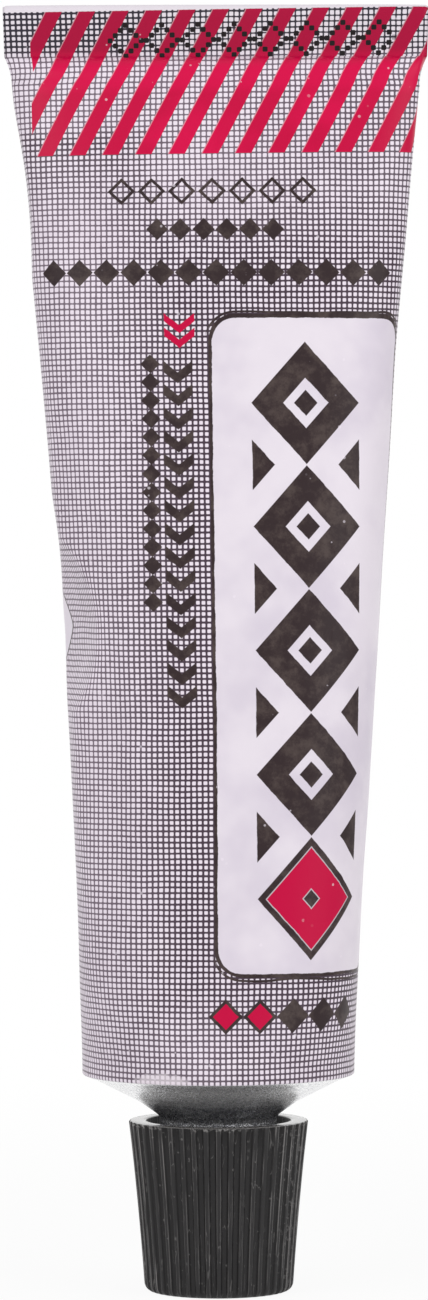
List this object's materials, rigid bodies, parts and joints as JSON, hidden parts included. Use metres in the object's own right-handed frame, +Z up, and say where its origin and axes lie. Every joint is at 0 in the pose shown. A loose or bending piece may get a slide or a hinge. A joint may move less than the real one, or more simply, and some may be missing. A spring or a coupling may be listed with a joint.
{
  "type": "glue tube",
  "caption": "Collapsible aluminium glue tube with a double-folded flat end, bare metal shoulder and black ribbed screw cap, standing on its cap.",
  "frame": {"origin": "centre of the ring that the cap stands on, under the tube's axis", "axes": "+Z up the tube from the cap to the folded end, X along the folded end's width, the end folded over towards +Y"},
  "size_m": [0.039, 0.025, 0.1181],
  "materials": {
    "printed_aluminium": "enamel print over aluminium, bare satin metal at the shoulder and neck",
    "sealing_compound": "dull",
    "clear_glue": "thick clear gel",
    "cap_plastic": "satin black, moulded ribs",
    "liner_foam": "soft white foam"
  },
  "bodies": {
    "tube": {"tube_shell": "printed_aluminium", "end_seal_band": "sealing_compound", "adhesive_fill": "clear_glue"},
    "liner": {"cap_liner": "liner_foam"},
    "cap": {"screw_cap": "cap_plastic"}
  },
  "joints": [
    {"name": "cap_lift", "type": "slide", "parent": "tube", "child": "liner", "axis": [0, 0, -1], "range_m": [0, 0.00825]},
    {"name": "cap_turn", "type": "hinge", "parent": "liner", "child": "cap", "pos_m": [0, 0, 0], "axis": [0, 0, -1], "range_deg": [0, 1980]}
  ],
  "couplings": [
    {"joint": "cap_turn", "follows": "cap_lift", "rad_per_m": 4188.8}
  ]
}
